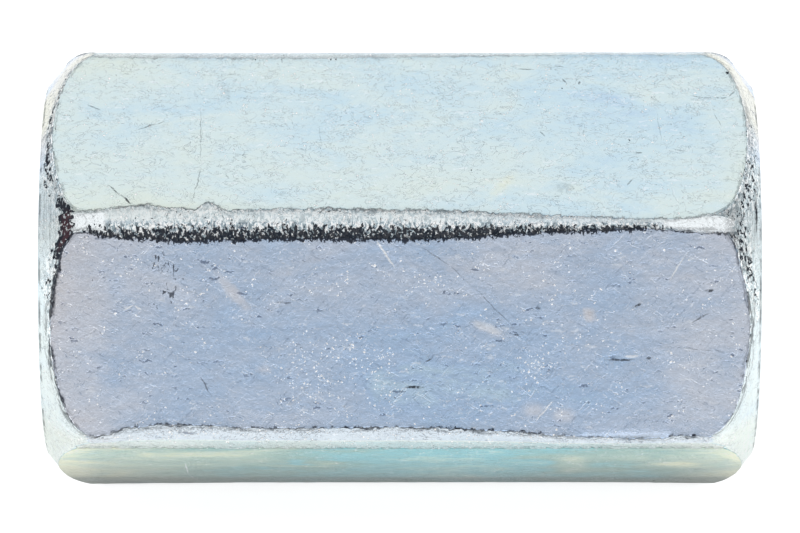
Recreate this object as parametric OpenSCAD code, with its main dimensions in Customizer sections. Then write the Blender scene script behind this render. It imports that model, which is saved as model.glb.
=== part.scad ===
// Hexagon coupling nut, three thread diameters long, for joining two threaded rods end to end.
// It lies on one flat with its thread along X. The origin is on the thread's axis, half way along the nut.

/* [Hexagon] */
// Width across the flats, which is the spanner size
across_flats = 17; // [16.5:0.1:19]
// Length from end face to end face
nut_length = 30; // [16:1:60]
// Radius of the six long edges between the flats
edge_radius = 1.2; // [0.4:0.1:2]

/* [Turned ends] */
// Outer diameter of the flat ring on each end face
end_face_d = 15.7; // [14:0.1:16.2]
// Angle between the end face and the chamfer, in degrees
chamfer_angle = 40; // [25:1:50]
// Radius that blends the chamfer into the long edges
shoulder_radius = 2; // [0.5:0.1:3]
// Radius that breaks the rim between the end face and the chamfer
rim_radius = 0.3; // [0.1:0.05:0.6]

/* [Thread] */
// Nominal diameter of the thread
thread_d = 10; // [8:0.5:11]
// Pitch of the thread
thread_pitch = 1.5; // [1:0.25:1.5]
// How much wider than the nominal thread each countersink is at its mouth
countersink_clearance = 0.8; // [0.2:0.1:1.2]
// Included angle of the countersinks, in degrees
countersink_angle = 120; // [90:5:120]

/* [Hidden] */
$fn = 96;
flats = 6;
// How far a cutting tool runs past the surface that it cuts
overrun = across_flats / 10;

// Hexagon: the flats lie at flat_distance from the axis, and the rounded edges reach to edge_reach
flat_distance = across_flats / 2;
edge_centre = (flat_distance - edge_radius) / cos(180 / flats);
edge_reach = edge_centre + edge_radius;

// Thread: five eighths of the sharp V's height lies between the nominal radius and the minor one
sharp_v_height = thread_pitch * cos(30);
minor_d = thread_d - 2 * 5 / 8 * sharp_v_height;
countersink_d = thread_d + countersink_clearance;
countersink_depth = (countersink_d - minor_d) / 2 / tan(countersink_angle / 2);

// Lathe form: it stands clear of the long edges' crests by a hair, so that the two are nowhere in line contact
lathe_clearance = edge_radius / 60;
lathe_r = edge_reach + lathe_clearance;
end_face_r = end_face_d / 2;
// The chamfer's straight flank runs from the end face to the shoulder
flank_depth = (lathe_r - end_face_r) * tan(chamfer_angle);
flank_length = (lathe_r - end_face_r) / cos(chamfer_angle);
// Tangent lengths of the two blends, which share the flank between them
shoulder_tangent = min(shoulder_radius * tan(45 - chamfer_angle / 2), 0.6 * flank_length);
shoulder_r = shoulder_tangent / tan(45 - chamfer_angle / 2);
rim_tangent = min(rim_radius * tan(chamfer_angle / 2), 0.3 * flank_length);
rim_r = rim_tangent / tan(chamfer_angle / 2);

// Half of the lathe form's outline, from the middle of the nut to one end face, as [radius, distance along the axis].
// The shoulder and the rim are circles that the flank touches, and straight stretches join their tangent points.
module half_lathe_outline() {
    half = nut_length / 2;
    shoulder_centre = [lathe_r - shoulder_r, half - flank_depth - shoulder_tangent];
    rim_centre = [end_face_r - rim_tangent, half - rim_r];
    flank_normal = [sin(chamfer_angle), cos(chamfer_angle)];
    polygon([
        [0, 0],
        [lathe_r, 0],
        [lathe_r, shoulder_centre[1]],
        shoulder_centre + shoulder_r * flank_normal,
        rim_centre + rim_r * flank_normal,
        [rim_centre[0], half],
        [0, half]
    ]);
    translate(shoulder_centre) circle(r = shoulder_r);
    translate(rim_centre) circle(r = rim_r);
}

// The round form that both ends are turned to: end face, rim, chamfer and shoulder
module lathe_form() {
    rotate_extrude()
        for (end = [0, 1])
            mirror([0, end]) half_lathe_outline();
}

// Cross-section of the hexagon: each corner is a circle that touches its two flats
module hexagon_section() {
    half_flat = (flat_distance - edge_radius) * tan(180 / flats);
    polygon([
        for (i = [0:flats - 1], side = [-1, 1])
            let (a = i * 360 / flats)
                flat_distance * [cos(a), sin(a)] + side * half_flat * [-sin(a), cos(a)]
    ]);
    for (i = [0:flats - 1])
        rotate((i + 0.5) * 360 / flats) translate([edge_centre, 0]) circle(r = edge_radius);
}

module hexagon_bar() {
    linear_extrude(height = nut_length + 2 * overrun, center = true) hexagon_section();
}

// The hole at the thread's minor diameter, with a countersink at each end that leads a rod in
module threaded_hole() {
    cylinder(h = nut_length + 2 * overrun, d = minor_d, center = true);
    for (end = [0, 1])
        mirror([0, 0, end])
            translate([0, 0, nut_length / 2 - countersink_depth])
                cylinder(
                    h = countersink_depth + overrun,
                    d1 = minor_d,
                    d2 = countersink_d + 2 * overrun * tan(countersink_angle / 2)
                );
}

// The nut as it is cut from hexagon bar: turned at both ends, drilled through and countersunk
module coupling_nut() {
    color("#bcc9d6")
        rotate([0, 90, 0])
            difference() {
                intersection() {
                    hexagon_bar();
                    lathe_form();
                }
                threaded_hole();
            }
}

coupling_nut();
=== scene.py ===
# Hexagon coupling nut in blue-passivated zinc plate, lying on one flat on white paper.
import math

import bmesh
import bpy
from mathutils import Matrix, Vector, noise


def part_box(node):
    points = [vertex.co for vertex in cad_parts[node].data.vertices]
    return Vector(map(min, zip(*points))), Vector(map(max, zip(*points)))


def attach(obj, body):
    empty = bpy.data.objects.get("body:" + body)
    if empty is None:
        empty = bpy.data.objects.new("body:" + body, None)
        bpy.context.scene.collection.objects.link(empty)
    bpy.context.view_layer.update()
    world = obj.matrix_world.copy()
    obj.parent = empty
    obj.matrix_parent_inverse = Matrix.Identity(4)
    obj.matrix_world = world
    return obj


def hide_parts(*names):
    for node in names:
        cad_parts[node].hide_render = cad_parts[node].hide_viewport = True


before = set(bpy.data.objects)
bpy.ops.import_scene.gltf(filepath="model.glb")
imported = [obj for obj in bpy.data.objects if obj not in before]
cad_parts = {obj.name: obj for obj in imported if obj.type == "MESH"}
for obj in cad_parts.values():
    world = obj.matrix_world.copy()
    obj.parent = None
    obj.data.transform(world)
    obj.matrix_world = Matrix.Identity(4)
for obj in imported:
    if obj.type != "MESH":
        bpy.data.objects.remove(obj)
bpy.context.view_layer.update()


# The nut's outside: steel hexagon bar whose six long edges were rounded unevenly as the bar was drawn,
# turned at both ends. Each flat meets the rounded edges and the turned chamfers at a low, ragged step.
# Sizes are in millimetres, and sectors count from the top flat (0) over the front one (1) on round the
# nut.
MM = 0.001
nut_low, nut_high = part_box("coupling_nut")
# The skin stays a hair inside the solid's box
end_clearance = 0.002
edge_clearance = 0.004
half_length = nut_high.x / MM - end_clearance
flat_distance = nut_high.z / MM
edge_reach = nut_high.y / MM - edge_clearance
# From a flat's middle to its sharp corner, and to where the drawn bar's round cuts it off
corner_offset = flat_distance * math.tan(math.radians(30))
flat_reach = math.sqrt(edge_reach**2 - flat_distance**2)

end_face_radius = 7.85
chamfer_angle = math.radians(40)
shoulder_radius = 2.0
rim_radius = 0.3
countersink_radius = 5.4
countersink_slope = math.tan(math.radians(60))

# The step down from a flat, and how much lower still the rounded edges lie
step_depth = 0.022
step_width = 0.05
edge_step = 0.016
# Flats are hollow by about this depth, and come level over this distance from their borders
hollow_depth = 0.007
hollow_rim = 0.6

# The mesh: columns run round the nut and rows along it, and those next to a border or a crease are narrow
flat_columns = 38
edge_columns = 13
narrow = 0.045
sector_columns = flat_columns + edge_columns
columns = 6 * sector_columns
chamfer_rows = 14
face_rows = 5
body_rows = 186

# Distance of each flat's border from the sharp corner that the rounded edge replaces, along the nut, as
# (x, distance). An edge has two such borders: the first on the flat before it, and the second on the
# flat after it.
even_border = [(-14, 0.62), (-9, 0.74), (0, 0.70), (8, 0.76), (14, 0.60)]
edge_borders = {
    "top_front": (
        [
            (-13.9, 0.57), (-12.8, 0.52), (-11.7, 0.74), (-10.6, 0.85), (-9.2, 0.70), (-8.5, 0.62),
            (-7.9, 1.02), (-7.2, 0.60), (-5, 0.66), (2, 0.56), (5, 0.36), (7.5, 0.24), (10, 0.12),
            (11.5, 0.14), (12.8, 0.32), (13.7, 0.50), (14.3, 0.80),
        ],
        [
            (-13.9, 0.78), (-13.2, 0.56), (-12.7, 0.58), (-11.5, 0.77), (-9, 0.89), (-5, 0.80), (1.5, 0.81),
            (3, 0.73), (4.3, 0.60), (7, 0.48), (10.2, 0.38), (12, 0.51), (12.8, 0.60), (13.7, 0.52),
            (14.3, 0.66),
        ],
    ),
    "front": (
        [
            (-12.8, 0.40), (-12.3, 0.42), (-11.3, 0.78), (-10, 0.90), (-8.7, 0.90), (-6, 0.76),
            (-3.7, 0.75), (0, 0.81), (2, 0.75), (4.5, 0.62), (6.5, 0.44), (8, 0.33), (9.6, 0.25),
            (10.6, 0.30), (11.6, 0.44), (12.9, 0.38),
        ],
        [(-13, 0.75), (0, 0.85), (13, 0.75)],
    ),
    "bottom_front": (
        [(-14, 0.66), (-10, 0.84), (-6, 1.02), (8, 1.10), (14, 0.84)],
        [(-13, 0.66), (-4, 0.78), (5, 0.70), (13, 0.64)],
    ),
    "bottom_back": ([(-13, 0.60), (3, 0.82), (13, 0.66)], even_border),
    "back": ([(-13, 0.72), (-2, 0.86), (9, 0.72)], [(-13, 0.66), (4, 0.80), (13, 0.70)]),
    "back_top": (even_border, [(-13, 0.50), (-5, 0.56), (5, 0.42), (7, 0.26), (13, 0.30)]),
}
edge_names = list(edge_borders)


def between_knots(knots, x):
    """The value at x of a line eased from each knot to the next, level past the first and the last."""
    if x <= knots[0][0]:
        return knots[0][1]
    for (x0, value0), (x1, value1) in zip(knots, knots[1:]):
        if x <= x1:
            share = (x - x0) / (x1 - x0)
            share = share * share * (3 - 2 * share)
            return value0 + (value1 - value0) * share
    return knots[-1][1]


def border(edge, side, x):
    """Distance of one border of a long edge from the sharp corner, ragged by a few hundredths."""
    seed = 17.0 * edge + 5.0 * side
    ragged = 0.045 * noise.noise((1.1 * x, seed, 0)) + 0.03 * noise.noise((3.6 * x, seed, 7))
    return between_knots(edge_borders[edge_names[edge]][side], x) + ragged


def on_flat(sector, along):
    """Point of the cross-section on a flat's plane, at a distance along the flat from its middle."""
    angle = math.radians(60 * sector)
    outwards = Vector((0, -math.sin(angle), math.cos(angle)))
    sideways = Vector((0, -math.cos(angle), -math.sin(angle)))
    return flat_distance * outwards + along * sideways


def flat_place(place, width):
    """Distance of a flat's column from its first border: even, but narrow next to both borders."""
    if place == 0:
        return 0.0
    if place == flat_columns:
        return width
    return narrow + (width - 2 * narrow) * (place - 1) / (flat_columns - 2)


def section(column, x):
    """The skin at a column and x: point, distance past the nearest border, and (edge, share across)."""
    sector, place = divmod(column, sector_columns)
    start = -corner_offset + border((sector - 1) % 6, 1, x)
    end = corner_offset - border(sector, 0, x)
    if place <= flat_columns:
        along = start + flat_place(place, end - start)
        hollow = hollow_depth * max(0.2, 0.5 + noise.noise((0.16 * x, 0.3 * along, 3.0 * sector)))
        point = on_flat(sector, along)
        near_border = min(1, (along - start) / hollow_rim, (end - along) / hollow_rim)
        point *= 1 - hollow * near_border / flat_distance
        point *= min(1, edge_reach / point.length)
        if along - start < end - along:
            return point, start - along, ((sector - 1) % 6, 1.0)
        return point, along - end, (sector, 0.0)
    # A conic from border to border, which is a true arc where both lie equally far from the corner. Its
    # columns crowd towards both borders
    share = (place - flat_columns) / edge_columns
    share = 0.5 - 0.5 * math.cos(math.pi * share) * (1 - 0.25 * math.sin(math.pi * share))
    first = on_flat(sector, end)
    last = on_flat((sector + 1) % 6, -corner_offset + border(sector, 1, x))
    corner = on_flat(sector, corner_offset)
    weights = (1 - share) ** 2, 2 * share * (1 - share) * math.cos(math.radians(30)), share**2
    point = (weights[0] * first + weights[1] * corner + weights[2] * last) / sum(weights)
    past = min((point - first).length, (point - last).length)
    rough = 0.010 * noise.noise((3.1 * x, 9.0 * sector + 3 * share, 1)) + 0.012 * noise.noise(
        (1.2 * x, 7.0 * sector, 5)
    )
    point *= 1 - (step_depth + edge_step + rough) * min(1, past / step_width) / point.length
    point *= min(1, edge_reach / point.length)
    return point, past, (sector, share)


# The turned profile, from the rim of the end face inwards: rim blend, straight flank, shoulder blend.
# It stands clear of the long edges by a hair
lathe_clearance = 0.02
flank_end = edge_reach + lathe_clearance
flank_depth = (flank_end - end_face_radius) * math.tan(chamfer_angle)
shoulder_tangent = shoulder_radius * math.tan(math.pi / 4 - chamfer_angle / 2)
rim_tangent = rim_radius * math.tan(chamfer_angle / 2)
flank_straight = (flank_end - end_face_radius) / math.cos(chamfer_angle) - shoulder_tangent - rim_tangent
rim_arc = rim_radius * chamfer_angle
shoulder_arc = shoulder_radius * (math.pi / 2 - chamfer_angle)
profile_length = rim_arc + flank_straight + shoulder_arc


def turned_profile(distance):
    """(depth from the end face, radius) at a distance along the turned profile from the end face."""
    if distance < rim_arc:
        turn = distance / rim_radius
        return (
            rim_radius * (1 - math.cos(turn)),
            end_face_radius - rim_tangent + rim_radius * math.sin(turn),
        )
    distance -= rim_arc
    if distance < flank_straight:
        along = rim_tangent + distance
        return along * math.sin(chamfer_angle), end_face_radius + along * math.cos(chamfer_angle)
    turn = chamfer_angle + min((distance - flank_straight) / shoulder_radius, math.pi / 2 - chamfer_angle)
    centre_depth = flank_depth + shoulder_tangent
    return (
        centre_depth - shoulder_radius * math.cos(turn),
        flank_end - shoulder_radius + shoulder_radius * math.sin(turn),
    )


def profile_at_radius(radius):
    """Distance along the turned profile at which it reaches a radius."""
    low, high = 0.0, profile_length
    for _ in range(24):
        middle = (low + high) / 2
        if turned_profile(middle)[1] < radius:
            low = middle
        else:
            high = middle
    return low


def crease(column, end):
    """Where a column passes from the hexagon's skin to the turned one: distance along the profile, and x."""
    depth = 1.0
    for _ in range(4):
        radius = section(column, end * (half_length - depth))[0].length
        distance = profile_at_radius(min(radius, flank_end - 0.001))
        depth = turned_profile(distance)[0]
    # The tool's cut wanders by a few hundredths of a millimetre
    wobble = 0.05 * noise.noise((0.9 * column / 8, end * 30, 2)) + 0.03 * noise.noise(
        (column / 2.5, end * 30, 9)
    )
    return distance + wobble, end * (half_length - depth - 0.7 * wobble)


creases = {(column, end): crease(column, end) for column in range(columns) for end in (-1, 1)}
rows = 2 * (face_rows + chamfer_rows) + body_rows + 1

# The finish over the skin. Film is the passivation's colour on a scale from straw (0) over lavender
# (0.4), blue (0.55), cyan (0.7) and pale green (0.9) to the teal (1.05) and pale straw-green (1.25) of
# the underside, whose teal is darkened as painted shade of the shadowed floor it reflects.
# The grime_and_shade is the share of dark, pitted scale, with a painted dark reflection on the top front
# edge, and glint_and_highlight that of painted glints, with a painted highlight where an edge was
# rubbed. Each flat has (x, film) along the nut and (distance from its middle, film added) across it.
flat_films = [
    (
        [(-14.5, 0.76), (-12, 0.75), (-9, 0.72), (2, 0.71), (9, 0.69), (13, 0.71), (14.5, 0.75)],
        [(-4, 0), (0, -0.01), (3, 0.03), (4.4, 0.045)],
    ),
    (
        [
            (-14.5, 0.28), (-13, 0.36), (-11.6, 0.46), (-8, 0.51), (0, 0.53), (8, 0.52), (11.5, 0.47),
            (13, 0.44), (14.5, 0.40),
        ],
        [(-4.4, -0.05), (-1, -0.01), (2, 0.03), (4.4, -0.02)],
    ),
    (
        [
            (-14.5, 1.25), (-12.5, 1.18), (-6, 1.13), (-1, 1.07), (4, 1.04), (10, 1.12), (13.5, 1.21),
            (14.5, 1.25),
        ],
        [(-4, 0), (0, 0)],
    ),
    ([(-14.5, 0.34), (-6, 0.46), (5, 0.42), (14.5, 0.36)], [(-4, 0), (4, 0.06)]),
    ([(-14.5, 0.66), (-4, 0.54), (7, 0.60), (14.5, 0.68)], [(-4, 0.06), (4, -0.04)]),
    ([(-14.5, 0.38), (-7, 0.50), (4, 0.56), (14.5, 0.42)], [(-4, 0.04), (4, -0.03)]),
]
# Share of grime and painted shade on the top front edge, from the top flat (0) to the front one (1), and how
# it varies along the nut. Towards the front flat it is mostly a painted dark reflection of the dimmer studio
# in front
edge_scale_and_dark_reflection = [
    (0, 0.32), (0.2, 0.24), (0.42, 0.24), (0.56, 0.36), (0.66, 0.58), (0.76, 0.80), (0.88, 0.94), (1, 0.96),
]
scale_and_dark_reflection_along = [
    (-13.3, 0.10), (-12.9, 0.66), (-12.2, 0.80), (-10.6, 0.86), (-9, 1), (3.6, 1), (4.6, 0.86), (7.2, 0.84),
    (10.2, 0.78), (11.0, 0.45), (11.6, 0.12), (13.6, 0.08),
]
# Where that edge was rubbed smooth and carries a painted highlight, along the nut and across the edge
polish_highlight_along = [(-13.3, 1), (-12.4, 1), (-11.9, 0), (10.2, 0), (11.4, 0.9), (13.4, 1)]
polish_highlight_across = [(0.08, 0), (0.22, 1), (0.80, 1), (0.94, 0.2)]
edge_grime = {"front": 0.10, "bottom_front": 0.20, "bottom_back": 0.20, "back": 0.23, "back_top": 0.15}
# Share of grime along each chamfer's inner crease, by sector: 0 at the middle of the top flat, 1 at the
# front one's, and how fast it fades towards the end face, per millimetre
left_grime = [
    (-0.5, 0.36), (-0.1, 0.40), (0.2, 0.38), (0.35, 0.30), (0.5, 0.24), (0.62, 0.36), (0.7, 0.60),
    (0.85, 0.60), (0.95, 0.42), (1.05, 0.52), (1.3, 0.38), (1.5, 0.14), (2.5, 0.2), (5.5, 0.30),
]
right_grime = [
    (-0.5, 0.36), (0.0, 0.36), (0.3, 0.42), (0.5, 0.34), (0.62, 0.44), (0.8, 0.42), (1.0, 0.36),
    (1.3, 0.30), (1.5, 0.14), (2.5, 0.2), (5.5, 0.30),
]
grime_fade = [(-0.5, 0.8), (0.0, 0.5), (0.2, 0.25), (0.8, 0.35), (0.95, 0.9), (1.1, 1.4), (2, 0.7)]
# How far the long edges' finish runs past each end crease in mm, by sector
left_wear = [
    (0.25, 0), (0.30, 0.10), (0.353, 0.26), (0.42, 0.62), (0.49, 0.74), (0.56, 0.50), (0.62, 0.30),
    (0.69, 0.20), (0.745, 0), (1.3, 0), (1.5, 0.2), (1.7, 0),
]
right_wear = [
    (0.275, 0), (0.33, 0.15), (0.42, 0.60), (0.49, 0.95), (0.56, 0.75), (0.61, 0.43), (0.686, 0.21),
    (0.745, 0), (1.3, 0), (1.5, 0.2), (1.7, 0),
]
# How strongly the crease at each border of a long edge is drawn, along the nut, and each end's crease,
# by sector
border_creases = {
    ("front", 0): [
        (-13.5, 0.9), (-12, 0.7), (-6, 0.75), (-3, 0.75), (-2, 1), (5.4, 1), (6.4, 0.6), (11, 0.6),
        (11.4, 1), (12.1, 1), (12.5, 0.5),
    ],
    ("front", 1): [(0, 0)],
    ("bottom_front", 0): [(0, 0)],
    ("top_front", 0): [(-13, 0.50), (5, 0.50), (8, 0.35), (13, 0.45)],
    ("top_front", 1): [(-13, 0.8), (13, 0.8)],
    ("back_top", 1): [(-13, 0.36), (13, 0.36)],
}
plain_crease = [(0, 0.4)]
left_creases = [
    (-0.5, 0.50), (0.25, 0.50), (0.40, 0.3), (0.5, 0.3), (0.65, 0.9), (1.3, 0.8), (1.4, 0.4), (1.5, 0.0),
    (2.4, 0.0), (2.7, 0.4), (5.5, 0.5),
]
right_creases = [
    (-0.5, 0.45), (0.3, 0.4), (0.5, 0.3), (0.65, 0.65), (1.3, 0.6), (1.4, 0.3), (1.5, 0.0), (2.4, 0.0),
    (2.7, 0.4), (5.5, 0.45),
]
# Grey tarnish by edge, which on the two bottom edges is painted shade of the shadowed floor under the
# nut, the film's colour on the chamfers by sector and on the end faces, and how far past the crease in
# mm the last of these begins
edge_tarnish_and_shade = {
    "top_front": 0.03, "front": 0.17, "bottom_front": 0.75, "bottom_back": 0.5, "back": 0.15,
    "back_top": 0.10,
}
end_films = [
    (-0.5, 0.05), (-0.1, 0.06), (0.2, 0.7), (1.3, 0.76), (1.6, 0.86), (2, 0.92), (2.7, 0.80), (4, 0.70),
    (5.2, 0.6), (5.5, 0.1),
]
end_face_film = 0.74
end_face_start = 1.8
# Painted shade across the flat below the front edge, for the shadowed floor it reflects, by distance
# from its middle, and tarnish on each chamfer, by sector
underside_painted_shade = [(-3, 0.0), (-0.5, 0.20), (0.9, 0.42), (2.2, 0.58), (2.9, 0.86), (4, 0.95)]
left_tarnish = [
    (-0.5, 0.08), (-0.1, 0.14), (0.1, 0.20), (0.28, 0.38), (0.6, 0.36), (0.8, 0.10), (1.3, 0.14),
    (1.6, 0.16), (2.2, 0.04),
]
right_tarnish = [
    (-0.3, 0.05), (0.15, 0.12), (0.35, 0.30), (0.6, 0.30), (0.85, 0.12), (1.0, 0.07), (2, 0.05),
]

# What an untouched flat has of grime and glints, an edge's share of glints, and the tarnish of the
# strip where the bar's round cuts a flat off
plain_grime = 0.12
plain_glint_share = 0.08
edge_glint_share = 0.5
round_tarnish = 0.5
# A faint grey line of painted shade along the top front edge, just below the top flat, as share across the
# edge
grey_line_shade = 0.16
grey_line_share = 0.12
grey_line_width = 0.2

# Stains, grimy patches and clusters of glints, as (flat, x, along, width, height, turn in degrees, what
# is added)
stains = [
    (1, -6.9, -1.8, 2.0, 0.5, -50, -0.16),
    (1, 7.8, -0.8, 0.5, 0.5, 0, -0.26),
    (1, 3.6, -0.2, 1.6, 0.35, -22, -0.12),
    (1, 5.5, 3.3, 0.9, 0.7, 0, -0.13),
    (1, 6.8, 3.6, 1.0, 0.6, 0, -0.12),
    (1, -5.6, 1.6, 0.6, 0.5, 0, -0.12),
    (1, -11.0, 2.6, 3.0, 1.6, 30, -0.05),
    (1, 3.5, -2.4, 8.0, 2.2, 0, -0.07),
    (1, 12.2, 2.0, 2.6, 5.0, 0, -0.05),
    (1, -4.0, 3.2, 7.0, 1.8, 0, -0.04),
    (0, -2.4, -1.5, 1.3, 0.25, 20, 0.08),
    (0, 4.2, 3.0, 2.0, 0.4, 54, 0.10),
    (0, 7.3, 3.15, 0.8, 0.3, -9, 0.10),
    (2, -3.2, -0.8, 1.9, 1.0, 0, 0.07),
    (2, 7.2, -0.4, 1.6, 3.4, 0, 0.09),
    (2, 11.5, -0.5, 2.5, 1.2, 0, 0.06),
    (2, -4.4, -1.0, 0.7, 1.5, 0, -0.05),
    (2, -9.0, -2.6, 5.0, 1.2, 0, 0.05),
    (2, 1.0, -1.5, 4.0, 1.4, 0, -0.04),
    (2, 5.0, 0.8, 3.0, 1.2, 0, -0.04),
]
grimy_patches = [
    (1, -10.2, -1.1, 0.6, 0.6, 0, 0.30),
    (1, -9.5, -1.7, 1.0, 0.7, 20, 0.24),
    (1, -10.0, -3.1, 0.8, 1.0, 0, 0.28),
    (1, -9.3, -2.7, 0.6, 0.6, 0, 0.26),
    (1, -12.3, 0.0, 0.25, 0.25, 0, 0.5),
    (1, -9.8, -2.3, 2.4, 2.8, 0, 0.16),
    (0, 13.7, -3.5, 0.4, 0.3, 0, 0.45),
    (0, -6.0, -4.3, 0.6, 0.2, 0, 0.40),
    (0, -4.9, -4.3, 0.5, 0.2, 0, 0.40),
    (0, -2.9, -4.3, 0.8, 0.25, 0, 0.42),
    (0, -1.3, -4.3, 1.2, 0.2, 0, 0.42),
    (0, 0.4, -4.3, 0.6, 0.2, 0, 0.40),
]
# Grimy patches on the turned ends, as (end, sector, distance past the crease, width in sectors, height
# in mm, what is added)
end_patches = [
    (-1, 0.47, 0.25, 0.30, 0.80, 1.9),
    (-1, 0.60, 0.35, 0.18, 0.90, 0.9),
    (-1, 0.64, 0.20, 0.14, 0.60, 0.9),
    (-1, -0.20, 0.30, 0.40, 0.35, 0.26),
    (-1, 0.05, 0.35, 0.30, 0.30, 0.34),
    (-1, 0.15, 0.55, 0.14, 0.35, 0.48),
    (-1, 0.21, 0.90, 0.10, 0.26, 0.52),
    (-1, 0.30, 0.50, 0.10, 0.60, 0.30),
    (-1, 0.40, 1.00, 0.30, 0.70, 0.16),
    (-1, -0.12, 1.15, 0.14, 0.25, 0.30),
    (1, 0.10, 0.50, 0.40, 0.40, 0.22),
    (1, 0.30, 1.00, 0.34, 1.10, 0.30),
    (1, 0.60, 0.70, 0.40, 1.20, 0.36),
    (1, 0.85, 0.60, 0.26, 0.60, 0.24),
]
glint_patches = [
    (1, -2.6, 1.5, 4.6, 3.2, 0, 0.44),
    (1, -2.6, -2.4, 1.7, 1.1, 0, 0.48),
    (1, 0.9, -2.2, 1.8, 1.2, 0, 0.50),
    (1, 5.6, 1.4, 1.8, 1.8, 0, 0.55),
    (1, 7.6, 0.4, 2.2, 0.9, 0, 0.40),
    (1, 9.5, 2.4, 1.0, 0.7, 0, 0.30),
    (1, 11.4, 1.2, 1.5, 1.1, 0, 0.25),
    (1, 6.6, -1.5, 1.6, 0.8, 0, 0.25),
]


def patches_at(patches, flat, x, along):
    """Sum of the soft oval patches of a list at a place on a flat."""
    total = 0.0
    for patch_flat, patch_x, patch_along, width, height, degrees, amount in patches:
        if patch_flat != flat:
            continue
        away = Vector((x - patch_x, patch_along - along))
        away.rotate(Matrix.Rotation(-math.radians(degrees), 2))
        reach = (2 * away.x / width) ** 2 + (2 * away.y / height) ** 2
        total += amount * math.exp(-reach * reach)
    return total


def finish_at(column, x, past, past_end, end, across):
    """Distance past the worn end crease, film, grime and painted shade, glints and painted highlight, crease
    strength, and tarnish and painted shade at one vertex.
    """
    sector, place = divmod(column, sector_columns)
    edge, share = across
    name = edge_names[edge]
    on_edge = place > flat_columns
    around = sector + (place - flat_columns / 2) / sector_columns
    around = around - 6 if around > 5.5 else around
    past_end -= between_knots(left_wear if end < 0 else right_wear, around)
    near_end = min(1, max(0, 1 + past_end / 0.4))
    border_strength = between_knots(border_creases.get((name, round(share)), plain_crease), x)
    end_strength = between_knots(left_creases if end < 0 else right_creases, around)
    strength = border_strength + (end_strength - border_strength) * near_end
    along_films, across_films = flat_films[(sector + round(share)) % 6 if on_edge else sector]
    along = 0.0
    if not on_edge:
        start = -corner_offset + border((sector - 1) % 6, 1, x)
        finish = corner_offset - border(sector, 0, x)
        along = start + flat_place(place, finish - start)
    film = between_knots(along_films, x) + between_knots(across_films, along)
    grime_and_shade = edge_grime.get(name, 0.0)
    tarnish_and_shade = edge_tarnish_and_shade.get(name, 0.0)
    glint_and_highlight = edge_glint_share
    if name == "bottom_front":
        # The bottom front edge's painted shade deepens towards the flat the nut rests on
        tarnish_and_shade *= min(1, 2.5 * share)
    if name == "top_front":
        # Grime and painted dark reflection across the top front edge
        grime_and_shade = between_knots(edge_scale_and_dark_reflection, share) * between_knots(scale_and_dark_reflection_along, x)
        tarnish_and_shade += grey_line_shade * max(0, 1 - abs(share - grey_line_share) / grey_line_width)
    if on_edge and name == "top_front":
        # A painted highlight where the top front edge was rubbed smooth
        highlight_and_polish = between_knots(polish_highlight_along, x) * between_knots(polish_highlight_across, share)
        highlight_and_polish *= max(0, min(1, 1 - 6 * past_end))
        glint_and_highlight += (1 - edge_glint_share) * highlight_and_polish
        tarnish_and_shade *= 1 - highlight_and_polish
    if past < 0:
        grime_and_shade = max(plain_grime, grime_and_shade + 3.5 * past)
        tarnish_and_shade *= max(0, 1 + 4 * past)
        if sector == 1:
            tarnish_and_shade += round_tarnish * max(0, min(1, (along - flat_reach) / step_width))
        if sector == 2:
            # Painted shade across the flat below the front edge
            tarnish_and_shade = between_knots(underside_painted_shade, along)
        glint_and_highlight = plain_glint_share
        film += patches_at(stains, sector, x, along)
        grime_and_shade += patches_at(grimy_patches, sector, x, along)
        glint_and_highlight += patches_at(glint_patches, sector, x, along)
    end_grime = between_knots(left_grime if end < 0 else right_grime, around)
    if past_end > 0:
        grime_and_shade = max(plain_grime, end_grime - between_knots(grime_fade, around) * past_end)
        for patch_end, patch_around, patch_past, width, height, amount in end_patches:
            if patch_end == end:
                reach = (2 * (around - patch_around) / width) ** 2
                reach += (2 * (past_end - patch_past) / height) ** 2
                grime_and_shade += amount * math.exp(-reach * reach)
        end_tarnish = between_knots(left_tarnish if end < 0 else right_tarnish, around)
        tarnish_and_shade += (end_tarnish - tarnish_and_shade) * min(1, 3 * past_end)
        film += (between_knots(end_films, around) - film) * min(1, past_end / narrow)
        film += (end_face_film - film) * min(1, max(0, past_end - end_face_start))
    else:
        grime_and_shade = max(grime_and_shade, end_grime + 2.2 * past_end)
    return past_end, film, grime_and_shade, glint_and_highlight, strength, tarnish_and_shade


# The end face's mesh ends this far outside the countersink's mouth, and the ring is about this wide
countersink_lip = 0.12
end_face_width = 2


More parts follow.
